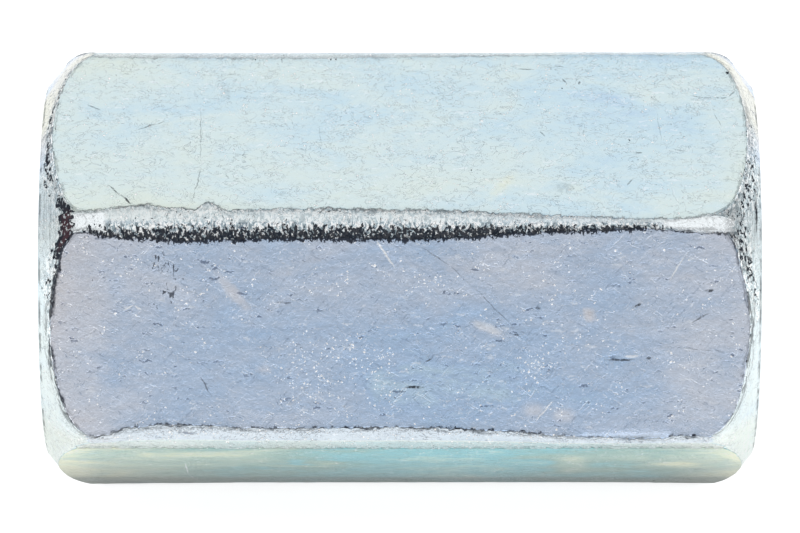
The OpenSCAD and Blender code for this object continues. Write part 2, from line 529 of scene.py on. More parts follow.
def skin_point(column, row):
    """Place in mm of one vertex, its distance past the nearest border, and the rest of its finish."""
    end = -1 if row < rows / 2 else 1
    from_end = row if end < 0 else rows - 1 - row
    distance_c, x_c = creases[column, end]
    if from_end >= face_rows + chamfer_rows:
        x0, x1 = creases[column, -1][1], creases[column, 1][1]
        body_row = row - face_rows - chamfer_rows
        x = x0 + (x1 - x0 - 2 * narrow) * (body_row - 1) / (body_rows - 2) + narrow
        x = x0 if body_row == 0 else x1 if body_row == body_rows else x
        point, past, across = section(column, x)
        past_end = -abs(x_c - x)
        place = Vector((x, point.y, point.z))
        return place, past, *finish_at(column, x, past, past_end, end, across)
    point, past, across = section(column, x_c)
    direction = point.normalized()
    if from_end >= face_rows:
        distance = (distance_c - narrow) * (from_end - face_rows) / (chamfer_rows - 1)
        depth, radius = turned_profile(distance)
        past_end = distance_c - distance
        inwards = step_depth * min(1, past_end / step_width)
        if from_end == face_rows:
            inwards = 0
        depth += inwards * math.cos(chamfer_angle)
        radius = min(radius, point.length) - inwards * math.sin(chamfer_angle)
    else:
        depth = 0
        inner = countersink_radius + countersink_lip
        share = from_end / face_rows
        radius = inner + (end_face_radius - rim_tangent - inner) * share
        past_end = distance_c + (1 - share) * end_face_width
    x = end * (half_length - depth)
    place = Vector((x, direction.y * radius, direction.z * radius))
    return place, past, *finish_at(column, x, past, past_end, end, across)


# A tube with one vertex for each column and row, which then takes the skin's shape and carries its finish
nut = bmesh.new()
bmesh.ops.create_cone(nut, cap_ends=False, segments=columns, radius1=1, radius2=1, depth=1)
long_edges = [e for e in nut.edges if abs(e.verts[0].co.z - e.verts[1].co.z) > 0.5]
bmesh.ops.subdivide_edges(nut, edges=long_edges, cuts=rows - 2)
layer_names = "past_border", "past_crease", "film", "grime_and_shade", "glint_and_highlight", "crease", "tarnish_and_shade"
layers = [nut.verts.layers.float.new(name) for name in layer_names]
for vertex in nut.verts:
    turn = math.atan2(vertex.co.x, vertex.co.y) / (2 * math.pi)
    column = round(turn * columns) % columns
    row = round((vertex.co.z + 0.5) * (rows - 1))
    vertex.co, *finish = skin_point(column, row)
    for layer, value in zip(layers, finish):
        vertex[layer] = value

# The thread: a right-hand metric thread in the same steel, cut with a tap right through the drilled
# hole and countersunk at both ends. Its crests and roots are softened as a tap leaves them.
thread_radius = 5.0
pitch = 1.5
thread_height = 5 / 8 * pitch * math.cos(math.radians(30))
minor_radius = thread_radius - thread_height
crest_width = pitch / 4
root_width = pitch / 8
flank_width = (pitch - crest_width - root_width) / 2
soften = 0.04
thread_steps = 72
one_turn = [
    (0, minor_radius),
    (crest_width - soften, minor_radius),
    (crest_width + soften / 2, minor_radius + soften),
    (crest_width + flank_width / 2, (minor_radius + thread_radius) / 2),
    (crest_width + flank_width - soften / 2, thread_radius - soften),
    (crest_width + flank_width + soften, thread_radius),
    (crest_width + flank_width + root_width - soften, thread_radius),
    (crest_width + flank_width + root_width + soften / 2, thread_radius - soften),
    (pitch - flank_width / 2, (minor_radius + thread_radius) / 2),
    (pitch - soften / 2, minor_radius + soften),
]
turns = math.ceil(2 * half_length / pitch) + 2
start = -half_length - 1.5 * pitch

thread = bmesh.new()
line = [
    thread.verts.new((start + turn * pitch + along, 0, radius))
    for turn in range(turns + 1)
    for along, radius in one_turn
]
spun = [thread.edges.new(pair) for pair in zip(line, line[1:])]
bmesh.ops.spin(
    thread,
    geom=line + spun,
    cent=(0, 0, 0),
    axis=(1, 0, 0),
    dvec=(pitch / thread_steps, 0, 0),
    angle=2 * math.pi,
    steps=thread_steps,
)
bmesh.ops.remove_doubles(thread, verts=thread.verts, dist=0.002)
for vertex in thread.verts:
    cone = countersink_radius - (half_length - abs(vertex.co.x)) * countersink_slope
    radius = math.hypot(vertex.co.y, vertex.co.z)
    if radius < cone:
        vertex.co.yz = vertex.co.yz * cone / radius
for end in (-1, 1):
    bmesh.ops.bisect_plane(
        thread,
        geom=thread.verts[:] + thread.edges[:] + thread.faces[:],
        dist=0.001,
        plane_co=(end * half_length, 0, 0),
        plane_no=(end, 0, 0),
        clear_outer=True,
    )
# The bore counts as turned skin, far from every border and crease
bore_finish = {
    "past_border": 3.0,
    "past_crease": 3.0,
    "film": 0.6,
    "grime_and_shade": 0.12,
    "glint_and_highlight": 0.3,
    "crease": 0.0,
    "tarnish_and_shade": 0.0,
}
for name, value in bore_finish.items():
    layer = thread.verts.layers.float.new(name)
    for vertex in thread.verts:
        vertex[layer] = value

# The thread joins the skin, and a flat ring at each end closes the gap between the two
joined = bpy.data.meshes.new("thread")
thread.to_mesh(joined)
thread.free()
nut.from_mesh(joined)
bpy.data.meshes.remove(joined)
open_edges = [e for e in nut.edges if e.is_boundary]
for end in (-1, 1):
    rims = [e for e in open_edges if e.verts[0].co.x * end > 0]
    bmesh.ops.triangle_fill(nut, use_beauty=True, edges=rims, normal=(end, 0, 0))
bmesh.ops.recalc_face_normals(nut, faces=nut.faces)
for face in nut.faces:
    face.smooth = True
bmesh.ops.scale(nut, vec=(MM, MM, MM), verts=nut.verts)
nut_mesh = bpy.data.meshes.new("plated_nut")
nut.to_mesh(nut_mesh)
nut.free()
plated_nut = bpy.data.objects.new("plated_nut", nut_mesh)
bpy.context.scene.collection.objects.link(plated_nut)
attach(plated_nut, "root")
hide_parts("coupling_nut")


def from_hex(text):
    """Linear colour with full alpha of an sRGB hex value."""
    values = [int(text[i : i + 2], 16) / 255 for i in (1, 3, 5)]
    return [v / 12.92 if v <= 0.04045 else ((v + 0.055) / 1.055) ** 2.4 for v in values] + [1]


def add(tree, kind, inputs=(), **settings):
    """Adds a node. An input is a number, a colour, another node's socket, or a node for its first output."""
    new = tree.nodes.new(kind)
    for name, value in settings.items():
        setattr(new, name, value)
    sockets = [socket for socket in new.inputs if socket.enabled]
    for key, value in dict(inputs).items():
        socket = sockets[key] if isinstance(key, int) else next(s for s in sockets if s.name == key)
        if isinstance(value, bpy.types.Node):
            value = next(output for output in value.outputs if output.enabled)
        if isinstance(value, bpy.types.NodeSocket):
            tree.links.new(value, socket)
        else:
            socket.default_value = value
    return new


# Electroplated zinc, 8 micrometres thick and passivated blue: a mirror that is scratched, pitted and
# tumbled dull, with a film whose interference colours drift from straw through lavender and blue to
# green. Edges are worn to bare zinc. Real pits and scratches are 0.005 to 0.05 mm wide, too fine to
# show at this distance, so the patterns here are several times coarser.
zinc = bpy.data.materials.new("blue_passivated_zinc")
zinc.use_nodes = True
tree = zinc.node_tree
tree.nodes.clear()
whereabouts = add(tree, "ShaderNodeTexCoord")
mm = add(
    tree,
    "ShaderNodeVectorMath",
    {0: whereabouts.outputs["Object"], 1: (1000, 1000, 1000)},
    operation="MULTIPLY",
)
attributes = {
    name: add(tree, "ShaderNodeAttribute", attribute_name=name).outputs["Fac"] for name in layer_names
}

# Ragged borders: how far past a flat's border or end crease, made rough at 0.1 to 0.5 mm
rough_line = add(tree, "ShaderNodeTexNoise", {"Vector": mm, "Scale": 3.2, "Detail": 4.0, "Roughness": 0.65})
rough_shift = add(tree, "ShaderNodeMapRange", {0: rough_line, 1: 0.3, 2: 0.7, 3: -0.06, 4: 0.06})
border_shift = add(tree, "ShaderNodeMath", {0: rough_shift, 1: 1.5}, operation="MULTIPLY")
past_border = add(tree, "ShaderNodeMath", {0: attributes["past_border"], 1: border_shift}, operation="ADD")
past_crease = add(tree, "ShaderNodeMath", {0: attributes["past_crease"], 1: rough_shift}, operation="ADD")
past = add(tree, "ShaderNodeMath", {0: past_border, 1: past_crease}, operation="MAXIMUM")
worn = add(
    tree,
    "ShaderNodeMapRange",
    {0: past, 1: -0.01, 2: 0.05, 3: 0.0, 4: 1.0},
    interpolation_type="SMOOTHSTEP",
)

# The film's colours, which drift in clouds 2 to 5 mm long and flecks of 0.25 mm, drawn out along the bar
along_bar = add(tree, "ShaderNodeMapping", {"Vector": mm, "Scale": (0.45, 1.0, 1.0)})
clouds = add(
    tree,
    "ShaderNodeTexNoise",
    {"Vector": along_bar, "Scale": 0.42, "Detail": 5.0, "Roughness": 0.6, "Distortion": 0.6},
)
cloud_shift = add(tree, "ShaderNodeMapRange", {0: clouds, 1: 0.3, 2: 0.7, 3: -0.07, 4: 0.07})
flecks = add(
    tree, "ShaderNodeTexNoise", {"Vector": along_bar, "Scale": 4.0, "Detail": 3.0, "Roughness": 0.6}
)
fleck_shift = add(tree, "ShaderNodeMapRange", {0: flecks, 1: 0.3, 2: 0.7, 3: -0.02, 4: 0.02})
film = add(tree, "ShaderNodeMath", {0: attributes["film"], 1: cloud_shift}, operation="ADD")
film = add(tree, "ShaderNodeMath", {0: film, 1: fleck_shift}, operation="ADD")
# The underside's teal stops (1.05 and 1.12) are darkened as painted shade for the shadowed floor that flat
# reflects
film_stops = {
    0.00: "#efe9cc",
    0.14: "#e0dcd6",
    0.28: "#d6d8e0",
    0.40: "#ced7e6",
    0.48: "#bccde4",
    0.57: "#afc8e6",
    0.67: "#c9e1ed",
    0.74: "#d6e7ea",
    0.82: "#dce8e3",
    0.92: "#e2e8d8",
    1.05: "#92cad2",
    1.12: "#a1c0bb",
    1.18: "#c3d3c8",
    1.25: "#e3e6d0",
}
film_end = max(film_stops)
film = add(tree, "ShaderNodeMath", {0: film, 1: 1 / film_end}, operation="MULTIPLY")
film_colour = add(tree, "ShaderNodeValToRGB", {0: film})
ramp = film_colour.color_ramp
ramp.elements.remove(ramp.elements[1])
for place, hex_value in film_stops.items():
    stop = ramp.elements[0] if place == 0 else ramp.elements.new(place / film_end)
    stop.color = from_hex(hex_value)

# Bare zinc on the edges and the turned ends, with the lathe's rings at 0.1 mm, some film left on it,
# and torn skin where there is grime, as grey and bright scales 0.15 to 0.25 mm across, whose bright
# ones are painted glints of the rough skin
across_bar = add(tree, "ShaderNodeVectorMath", {0: mm, 1: (0, 1, 1)}, operation="MULTIPLY")
ring_place = add(tree, "ShaderNodeVectorMath", {0: across_bar}, operation="LENGTH")
ring_place = add(tree, "ShaderNodeMath", {0: ring_place.outputs["Value"], 1: 9.0}, operation="MULTIPLY")
rings = add(tree, "ShaderNodeVectorMath", {0: mm, 1: (0.5, 0.3, 0.3)}, operation="MULTIPLY")
ring_noise = add(
    tree,
    "ShaderNodeTexNoise",
    {"Vector": rings, "W": ring_place, "Scale": 1.0, "Detail": 3.0, "Roughness": 0.6},
    noise_dimensions="4D",
)
bare_colour = add(
    tree, "ShaderNodeMix", {0: ring_noise, 1: from_hex("#c6d0d4"), 2: from_hex("#eef2f2")}, data_type="RGBA"
)
film_left = add(tree, "ShaderNodeMapRange", {0: past_crease, 1: 0.0, 2: 0.5, 3: 0.32, 4: 0.44})
bare_colour = add(tree, "ShaderNodeMix", {0: film_left, 1: bare_colour, 2: film_colour}, data_type="RGBA")
torn_space = add(tree, "ShaderNodeMapping", {"Vector": mm, "Scale": (6.5, 4.0, 4.0)})
torn_noise = add(
    tree,
    "ShaderNodeTexNoise",
    {"Vector": torn_space, "Scale": 1.0, "Detail": 3.0, "Roughness": 0.65, "Distortion": 0.8},
)
torn_scales_and_glints = add(tree, "ShaderNodeValToRGB", {0: torn_noise})
torn_ramp = torn_scales_and_glints.color_ramp
torn_ramp.elements[0].position = 0.38
torn_ramp.elements[0].color = from_hex("#7d8a91")
torn_ramp.elements[1].position = 0.54
torn_ramp.elements[1].color = from_hex("#fdffff")
torn_ramp.elements.new(0.46).color = from_hex("#b0c5ce")
torn = add(tree, "ShaderNodeMapRange", {0: attributes["grime_and_shade"], 1: 0.16, 2: 0.34, 3: 0.0, 4: 0.9})
torn_share = add(tree, "ShaderNodeMapRange", {0: past_crease, 1: 0.0, 2: 0.3, 3: 1.0, 4: 0.55})
torn = add(tree, "ShaderNodeMath", {0: torn, 1: torn_share}, operation="MULTIPLY")
bare_colour = add(tree, "ShaderNodeMix", {0: torn, 1: bare_colour, 2: torn_scales_and_glints}, data_type="RGBA")
colour = add(tree, "ShaderNodeMix", {0: worn, 1: film_colour, 2: bare_colour}, data_type="RGBA")

# Fine wavering scratches half a millimetre long, as broken contour lines of a noise, each dark with a
# painted highlight beside it for the light on its burr. They are fainter where the film is pale
curls = add(tree, "ShaderNodeMapping", {"Vector": mm, "Scale": (1.8, 2.5, 2.5)})
curl_noise = add(
    tree,
    "ShaderNodeTexNoise",
    {"Vector": curls, "Scale": 1.0, "Detail": 3.0, "Roughness": 0.62, "Distortion": 1.0},
)
curl_gaps = add(tree, "ShaderNodeTexNoise", {"Vector": mm, "Scale": 0.8, "Detail": 5.0, "Roughness": 0.72})
curl_gaps = add(tree, "ShaderNodeMapRange", {0: curl_gaps, 1: 0.42, 2: 0.56, 3: 0.25, 4: 0.95})
curl_lines = []
for level in (0.500, 0.524):
    curl_off = add(tree, "ShaderNodeMath", {0: curl_noise, 1: level}, operation="SUBTRACT")
    curl_off = add(tree, "ShaderNodeMath", {0: curl_off}, operation="ABSOLUTE")
    curl_line = add(tree, "ShaderNodeMapRange", {0: curl_off, 1: 0.003, 2: 0.012, 3: 1.0, 4: 0.0})
    curl_lines.append(add(tree, "ShaderNodeMath", {0: curl_line, 1: curl_gaps}, operation="MULTIPLY"))
curl_dark, curl_highlight_line = curl_lines
curl_depth = add(tree, "ShaderNodeMapRange", {0: attributes["film"], 1: 0.58, 2: 0.66, 3: 0.60, 4: 0.19})
curl_shade = add(tree, "ShaderNodeMath", {0: curl_dark, 1: curl_depth}, operation="MULTIPLY")
colour = add(tree, "ShaderNodeMix", {0: curl_shade, 1: colour, 2: from_hex("#4a6584")}, data_type="RGBA")
curl_highlight = add(tree, "ShaderNodeMath", {0: curl_highlight_line, 1: 0.42}, operation="MULTIPLY")
colour = add(tree, "ShaderNodeMix", {0: curl_highlight, 1: colour, 2: from_hex("#f4f9ff")}, data_type="RGBA")

# Glints: painted white highlights on small facets 0.1 mm across, in clusters, which the relief also raises
glint_bend = add(tree, "ShaderNodeTexNoise", {"Vector": mm, "Scale": 5.0, "Detail": 1.0})
glint_bend = add(
    tree, "ShaderNodeVectorMath", {0: glint_bend.outputs["Color"], 1: (1.6, 1.6, 1.6)}, operation="MULTIPLY"
)
glint_space = add(tree, "ShaderNodeVectorMath", {0: mm, 1: (8.5, 9.5, 9.5)}, operation="MULTIPLY")
glint_space = add(tree, "ShaderNodeVectorMath", {0: glint_space, 1: glint_bend}, operation="ADD")
glint_cells = add(tree, "ShaderNodeTexVoronoi", {"Vector": glint_space, "Scale": 1.0})
glint_pick = add(tree, "ShaderNodeSeparateColor", {0: glint_cells.outputs["Color"]})
glint_size = add(
    tree, "ShaderNodeMapRange", {0: glint_pick.outputs["Green"], 1: 0.0, 2: 1.0, 3: 0.20, 4: 0.46}
)
glint_dot = add(
    tree, "ShaderNodeMath", {0: glint_size, 1: glint_cells.outputs["Distance"]}, operation="SUBTRACT"
)
glint_dot = add(tree, "ShaderNodeMath", {0: glint_dot, 1: 7.0}, operation="MULTIPLY", use_clamp=True)
glint_clump = add(tree, "ShaderNodeTexNoise", {"Vector": mm, "Scale": 1.1, "Detail": 3.0, "Roughness": 0.6})
glint_clump = add(
    tree, "ShaderNodeMapRange", {0: glint_clump, 1: 0.35, 2: 0.65, 3: -0.26, 4: 0.14}, clamp=False
)
glint_share = add(tree, "ShaderNodeMath", {0: attributes["glint_and_highlight"], 1: glint_clump}, operation="ADD")
glint_on = add(
    tree, "ShaderNodeMath", {0: glint_share, 1: glint_pick.outputs["Red"]}, operation="GREATER_THAN"
)
glints = add(tree, "ShaderNodeMath", {0: glint_dot, 1: glint_on}, operation="MULTIPLY")
colour = add(tree, "ShaderNodeMix", {0: glints, 1: colour, 2: from_hex("#ffffff")}, data_type="RGBA")

# Nicks: pits up to 0.6 mm long and 0.15 mm wide along the bar, some dark, others painted as the white
# highlight of a burr
nick_space = add(tree, "ShaderNodeVectorMath", {0: mm, 1: (1.7, 6.0, 6.0)}, operation="MULTIPLY")
nick_space = add(tree, "ShaderNodeVectorMath", {0: nick_space, 1: glint_bend}, operation="ADD")
nick_cells = add(tree, "ShaderNodeTexVoronoi", {"Vector": nick_space, "Scale": 1.0})
nick_pick = add(tree, "ShaderNodeSeparateColor", {0: nick_cells.outputs["Color"]})
nick_size = add(
    tree, "ShaderNodeMapRange", {0: nick_pick.outputs["Green"], 1: 0.0, 2: 1.0, 3: 0.20, 4: 0.46}
)
nick_dot = add(
    tree, "ShaderNodeMath", {0: nick_size, 1: nick_cells.outputs["Distance"]}, operation="SUBTRACT"
)
nick_dot = add(tree, "ShaderNodeMath", {0: nick_dot, 1: 9.0}, operation="MULTIPLY", use_clamp=True)
nick_on = add(tree, "ShaderNodeMath", {0: nick_pick.outputs["Red"], 1: 0.78}, operation="GREATER_THAN")
nicks = add(tree, "ShaderNodeMath", {0: nick_dot, 1: nick_on}, operation="MULTIPLY")
nick_shade = add(tree, "ShaderNodeMapRange", {0: attributes["film"], 1: 0.58, 2: 0.66, 3: 0.58, 4: 0.04})
nick_zones = add(tree, "ShaderNodeMapRange", {0: glint_clump, 1: -0.18, 2: 0.04, 3: 0.1, 4: 1.0})
nicks = add(tree, "ShaderNodeMath", {0: nicks, 1: nick_zones}, operation="MULTIPLY")
nicks = add(tree, "ShaderNodeMath", {0: nicks, 1: nick_shade}, operation="MULTIPLY")
colour = add(tree, "ShaderNodeMix", {0: nicks, 1: colour, 2: from_hex("#384a6c")}, data_type="RGBA")
burr_highlight_on = add(tree, "ShaderNodeMath", {0: nick_pick.outputs["Red"], 1: 0.16}, operation="LESS_THAN")
burr_highlights = add(tree, "ShaderNodeMath", {0: nick_dot, 1: burr_highlight_on}, operation="MULTIPLY")
burr_highlights = add(tree, "ShaderNodeMath", {0: burr_highlights, 1: 0.35}, operation="MULTIPLY")
colour = add(tree, "ShaderNodeMix", {0: burr_highlights, 1: colour, 2: from_hex("#f2f8ff")}, data_type="RGBA")

# Hair scratches 1 mm long in two directions, light and dark, from cells flattened into upright slivers
hair_light = 0.0
hair_dark = 0.0
for turn in (0.45, -0.8):
    hair_space = add(tree, "ShaderNodeMapping", {"Vector": mm, "Rotation": (-0.52, 0, turn)})
    hair_space = add(
        tree, "ShaderNodeVectorMath", {0: hair_space, 1: (1.0, 11.0, 0.8)}, operation="MULTIPLY"
    )
    hair_space = add(tree, "ShaderNodeVectorMath", {0: hair_space, 1: glint_bend}, operation="ADD")
    hair_cells = add(tree, "ShaderNodeTexVoronoi", {"Vector": hair_space, "Scale": 1.0})
    hair_line = add(
        tree, "ShaderNodeMapRange", {0: hair_cells.outputs["Distance"], 1: 0.14, 2: 0.36, 3: 1.0, 4: 0.0}
    )
    hair_pick = add(tree, "ShaderNodeSeparateColor", {0: hair_cells.outputs["Color"]})
    light_on = add(
        tree, "ShaderNodeMath", {0: hair_pick.outputs["Green"], 1: 0.78}, operation="GREATER_THAN"
    )
    dark_on = add(tree, "ShaderNodeMath", {0: hair_pick.outputs["Green"], 1: 0.16}, operation="LESS_THAN")
    light_line = add(tree, "ShaderNodeMath", {0: hair_line, 1: light_on}, operation="MULTIPLY")
    dark_line = add(tree, "ShaderNodeMath", {0: hair_line, 1: dark_on}, operation="MULTIPLY")
    hair_light = add(tree, "ShaderNodeMath", {0: light_line, 1: hair_light}, operation="MAXIMUM")
    hair_dark = add(tree, "ShaderNodeMath", {0: dark_line, 1: hair_dark}, operation="MAXIMUM")
hair_zones = add(tree, "ShaderNodeMapRange", {0: glint_clump, 1: -0.2, 2: 0.1, 3: 0.12, 4: 0.42})
hair_light = add(tree, "ShaderNodeMath", {0: hair_light, 1: hair_zones}, operation="MULTIPLY")
colour = add(tree, "ShaderNodeMix", {0: hair_light, 1: colour, 2: from_hex("#f2f6fa")}, data_type="RGBA")
hair_dark = add(tree, "ShaderNodeMath", {0: hair_dark, 1: nick_shade}, operation="MULTIPLY")
hair_dark = add(tree, "ShaderNodeMath", {0: hair_dark, 1: 0.5}, operation="MULTIPLY")
colour = add(tree, "ShaderNodeMix", {0: hair_dark, 1: colour, 2: from_hex("#3f5274")}, data_type="RGBA")

# Where an edge was rubbed, it is smooth and carries a painted white highlight
polish_and_highlight = add(tree, "ShaderNodeMapRange", {0: attributes["glint_and_highlight"], 1: 0.60, 2: 0.85, 3: 0.0, 4: 0.9})
colour = add(tree, "ShaderNodeMix", {0: polish_and_highlight, 1: colour, 2: from_hex("#f6fcff")}, data_type="RGBA")

# Single scratches and nicks, as (flat, x, along, length, width, turn in degrees, strength). Flat 0.5 is
# the long edge between the flats 0 and 1
dark_marks = [
    (0, -11.8, 3.2, 0.75, 0.05, -50, 0.7),
    (0, -11.3, 3.75, 0.8, 0.07, -53, 0.9),
    (0, -8.3, 0.1, 3.4, 0.04, -89, 0.35),
    (0, -8.4, 2.9, 2.2, 0.04, 81, 0.4),
    (0, -10.4, -0.45, 1.65, 0.05, 23, 0.5),
    (0, -12.8, -1.5, 0.7, 0.06, -30, 0.5),
    (0, -0.8, -2.15, 1.3, 0.03, 47, 0.25),
    (0, -3.3, 0.15, 1.3, 0.03, -84, 0.3),
    (0, 5.3, -3.7, 0.85, 0.05, 0, 0.6),
    (0, 6.7, -3.9, 0.5, 0.05, -13, 0.6),
    (0, 6.9, -3.0, 0.45, 0.06, -55, 0.6),
    (0, 7.55, -2.9, 0.15, 0.15, 0, 0.7),
    (0, 5.95, 0.05, 0.4, 0.06, -49, 0.6),
    (0, 7.65, -0.1, 0.4, 0.05, 72, 0.4),
    (0, 12.6, -2.1, 1.0, 0.05, -10, 0.5),
    (0, 13.4, -2.05, 0.65, 0.06, 5, 0.5),
    (0, 13.9, -2.3, 0.5, 0.06, 53, 0.5),
    (0, 13.25, -0.8, 1.0, 0.04, -70, 0.4),
    (0, 10.8, -0.35, 2.0, 0.04, -86, 0.25),
    (0, 9.9, 1.1, 0.35, 0.06, 0, 0.6),
    (0, 11.6, 0.95, 0.8, 0.04, -17, 0.4),
    (0, 9.5, 2.8, 0.5, 0.07, 53, 0.5),
    (0, 6.8, 3.1, 0.9, 0.45, 0, 0.18),
    (0, -7.3, -2.3, 0.5, 0.55, 0, 0.12),
    (1, -8.05, 2.3, 1.25, 0.05, -61, 0.6),
    (1, -4.8, -1.35, 0.75, 0.07, 0, 0.6),
    (1, 1.2, 1.15, 0.6, 0.06, 38, 0.7),
    (1, 0.6, 2.35, 0.9, 0.11, 0, 0.95),
    (1, 9.1, 1.15, 1.3, 0.08, 0, 0.8),
    (1, 10.3, 1.1, 0.25, 0.08, 0, 0.8),
    (1, 12.4, -0.65, 1.0, 0.06, 31, 0.6),
    (1, 12.75, -1.85, 0.4, 0.09, 0, 0.9),
    (1, 9.8, -1.2, 0.4, 0.09, 28, 0.9),
    (1, 5.7, -1.1, 0.25, 0.1, 0, 0.8),
    (1, 4.8, 0.05, 0.35, 0.08, 0, 0.8),
    (1, 12.3, 0.7, 3.1, 0.03, -5, 0.4),
    (1, 1.45, -3.35, 1.5, 0.05, -35, 0.5),
    (1, 2.5, -2.5, 1.3, 0.04, -44, 0.5),
    (1, 3.85, -1.15, 2.5, 0.04, -46, 0.45),
    (0.5, 14.74, -0.62, 2.0, 0.10, 90, 0.95),
]
light_marks = [
    (1, -0.62, -3.46, 1.7, 0.08, -58, 0.8),
    (1, -11.2, -1.1, 0.6, 0.06, 26, 0.8),
    (1, -10.8, -1.1, 0.4, 0.06, -34, 0.8),
    (1, 6.0, 3.4, 1.3, 0.06, 52, 0.7),
    (1, 11.4, -2.8, 1.45, 0.05, 60, 0.7),
    (1, 3.6, -0.25, 1.5, 0.30, -22, 0.35),
    (1, 9.6, 1.0, 0.7, 0.1, 0, 0.6),
    (2, -9.05, 0.5, 3.1, 0.05, -89, 0.8),
    (2, -8.8, 2.9, 1.75, 0.06, -76, 0.8),
]
bend = add(tree, "ShaderNodeTexNoise", {"Vector": mm, "Scale": 2.4, "Detail": 2.0})
bend = add(
    tree, "ShaderNodeVectorMath", {0: bend.outputs["Color"], 1: (0.5, 0.5, 0.5)}, operation="SUBTRACT"
)
bend = add(tree, "ShaderNodeVectorMath", {0: bend, 1: (0.16, 0.16, 0.16)}, operation="MULTIPLY")
bent_mm = add(tree, "ShaderNodeVectorMath", {0: mm, 1: bend}, operation="ADD")
mark_depths = []
for marks in (dark_marks, light_marks):
    depth = 0.0
    for flat, x, along, length, width, degrees, strength in marks:
        turn = Matrix.Rotation(math.radians(60 * flat), 3, "X") @ Matrix.Rotation(
            math.radians(degrees), 3, "Z"
        )
        spot = on_flat(flat, along)
        mark_space = add(
            tree,
            "ShaderNodeMapping",
            {
                "Vector": bent_mm,
                "Location": (x, spot.y, spot.z),
                "Rotation": turn.to_euler(),
                "Scale": (length / 2, 0.75 * width, 1.0),
            },
            vector_type="TEXTURE",
        )
        mark = add(tree, "ShaderNodeTexGradient", {0: mark_space}, gradient_type="SPHERICAL")
        mark = add(
            tree, "ShaderNodeMath", {0: mark.outputs["Fac"], 1: 2.5}, operation="MULTIPLY", use_clamp=True
        )
        mark = add(tree, "ShaderNodeMath", {0: mark, 1: strength}, operation="MULTIPLY")
        depth = add(tree, "ShaderNodeMath", {0: mark, 1: depth}, operation="MAXIMUM")
    mark_depths.append(depth)
dark_mark, light_mark = mark_depths
mark_breaks = add(tree, "ShaderNodeMapRange", {0: torn_noise, 1: 0.40, 2: 0.52, 3: 0.25, 4: 1.0})
dark_mark = add(tree, "ShaderNodeMath", {0: dark_mark, 1: mark_breaks}, operation="MULTIPLY")
colour = add(tree, "ShaderNodeMix", {0: light_mark, 1: colour, 2: from_hex("#f2f6fa")}, data_type="RGBA")
colour = add(tree, "ShaderNodeMix", {0: dark_mark, 1: colour, 2: from_hex("#2b3038")}, data_type="RGBA")

# Grime: dark scale in the torn skin of the edges and in the creases, in teeth 0.15 mm wide that run
# across the edge. On the lower half of the top front edge it is mostly a painted dark reflection
teeth_space = add(tree, "ShaderNodeMapping", {"Vector": mm, "Scale": (7.0, 4.0, 4.0)})
teeth = add(
    tree,
    "ShaderNodeTexNoise",
    {"Vector": teeth_space, "Scale": 1.0, "Detail": 2.5, "Roughness": 0.6, "Distortion": 0.6},
)
teeth_shift = add(tree, "ShaderNodeMapRange", {0: teeth, 1: 0.3, 2: 0.7, 3: -0.40, 4: 0.40}, clamp=False)
grime_and_shade = add(tree, "ShaderNodeMath", {0: attributes["grime_and_shade"], 1: teeth_shift}, operation="ADD")
grime_and_shade = add(
    tree,
    "ShaderNodeMapRange",
    {0: grime_and_shade, 1: 0.56, 2: 0.68, 3: 0.0, 4: 1.0},
    interpolation_type="SMOOTHSTEP",
)
fleck_space = add(tree, "ShaderNodeVectorMath", {0: mm, 1: (9.0, 7.0, 7.0)}, operation="MULTIPLY")
fleck_noise = add(
    tree,
    "ShaderNodeTexNoise",
    {"Vector": fleck_space, "Scale": 1.0, "Detail": 1.0, "Roughness": 0.5, "Distortion": 0.4},
)
torn_flecks = add(tree, "ShaderNodeMapRange", {0: fleck_noise, 1: 0.58, 2: 0.64, 3: 1.0, 4: 0.1})
grime_and_shade = add(tree, "ShaderNodeMath", {0: grime_and_shade, 1: torn_flecks}, operation="MULTIPLY")
# It is thinner on the flats
grime_thin = add(tree, "ShaderNodeMapRange", {0: past, 1: -0.35, 2: -0.10, 3: 0.85, 4: 1.0})
grime_and_shade = add(tree, "ShaderNodeMath", {0: grime_and_shade, 1: grime_thin}, operation="MULTIPLY")

# The creases themselves, as thin broken dark lines of painted shade at the step
crease_break = add(
    tree, "ShaderNodeTexNoise", {"Vector": mm, "Scale": 1.6, "Detail": 3.0, "Roughness": 0.6}
)
crease_width = add(
    tree, "ShaderNodeMapRange", {0: crease_break, 1: 0.35, 2: 0.65, 3: -0.03, 4: 0.09}, clamp=False
)
border_width = add(tree, "ShaderNodeMath", {0: crease_width, 1: attributes["crease"]}, operation="MULTIPLY")
border_off = add(tree, "ShaderNodeMath", {0: past_border}, operation="ABSOLUTE")
on_ends = add(tree, "ShaderNodeMapRange", {0: past_crease, 1: 0.0, 2: 0.1, 3: 0.0, 4: 1.0})
border_off = add(tree, "ShaderNodeMath", {0: border_off, 1: on_ends}, operation="ADD")
border_line = add(tree, "ShaderNodeMath", {0: border_width, 1: border_off}, operation="SUBTRACT")
crease_off = add(tree, "ShaderNodeMath", {0: past_crease}, operation="ABSOLUTE")
crease_line = add(tree, "ShaderNodeMath", {0: border_width, 1: crease_off}, operation="SUBTRACT")
line_depth = add(tree, "ShaderNodeMath", {0: border_line, 1: crease_line}, operation="MAXIMUM")
lines = add(tree, "ShaderNodeMapRange", {0: line_depth, 1: -0.015, 2: 0.025, 3: 0.0, 4: 1.0})
line_strength = add(tree, "ShaderNodeMapRange", {0: attributes["crease"], 1: 0.1, 2: 0.8, 3: 0.0, 4: 1.0})
lines = add(tree, "ShaderNodeMath", {0: lines, 1: line_strength}, operation="MULTIPLY")
lines = add(tree, "ShaderNodeMath", {0: lines, 1: mark_breaks}, operation="MULTIPLY")
dark = add(tree, "ShaderNodeMath", {0: grime_and_shade, 1: lines}, operation="MAXIMUM")

